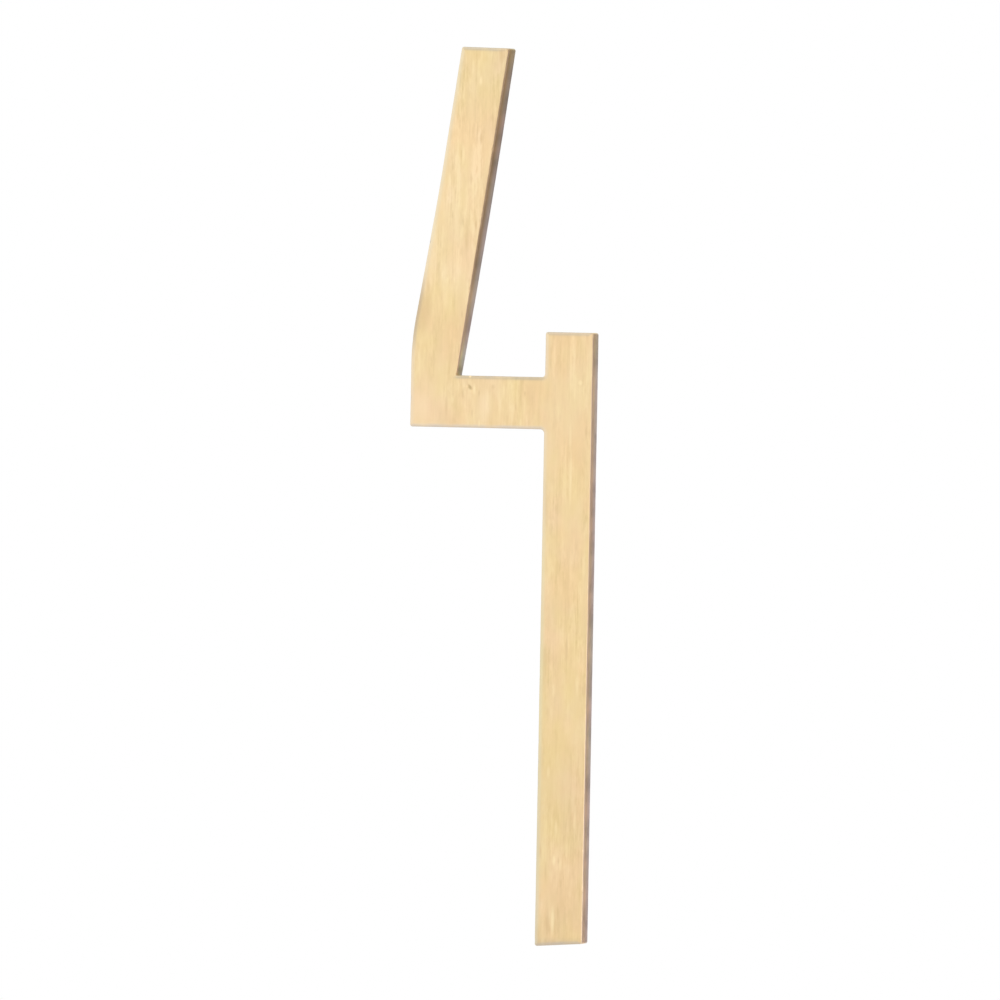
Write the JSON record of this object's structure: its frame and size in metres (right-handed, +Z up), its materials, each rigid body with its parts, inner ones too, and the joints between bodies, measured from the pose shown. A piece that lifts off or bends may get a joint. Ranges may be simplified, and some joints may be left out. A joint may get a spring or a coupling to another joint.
{
  "type": "door number",
  "caption": "Open numeral four cut from flat brushed brass plate: leaning arm, level bar and upright stem, with a flat back tapped for concealed fixing studs.",
  "frame": {"origin": "on the flat back face, where the centreline of the stem crosses the centreline of the bar", "axes": "+Z up the figure as it hangs on a door, +X to its right seen from the front, +Y out of its back into the door; its face looks along -Y"},
  "size_m": [0.0322, 0.003, 0.1499],
  "materials": {
    "brushed_brass": "satin, brushed along the height of the figure"
  },
  "bodies": {
    "root": {"door_number": "brushed_brass"}
  },
  "joints": []
}
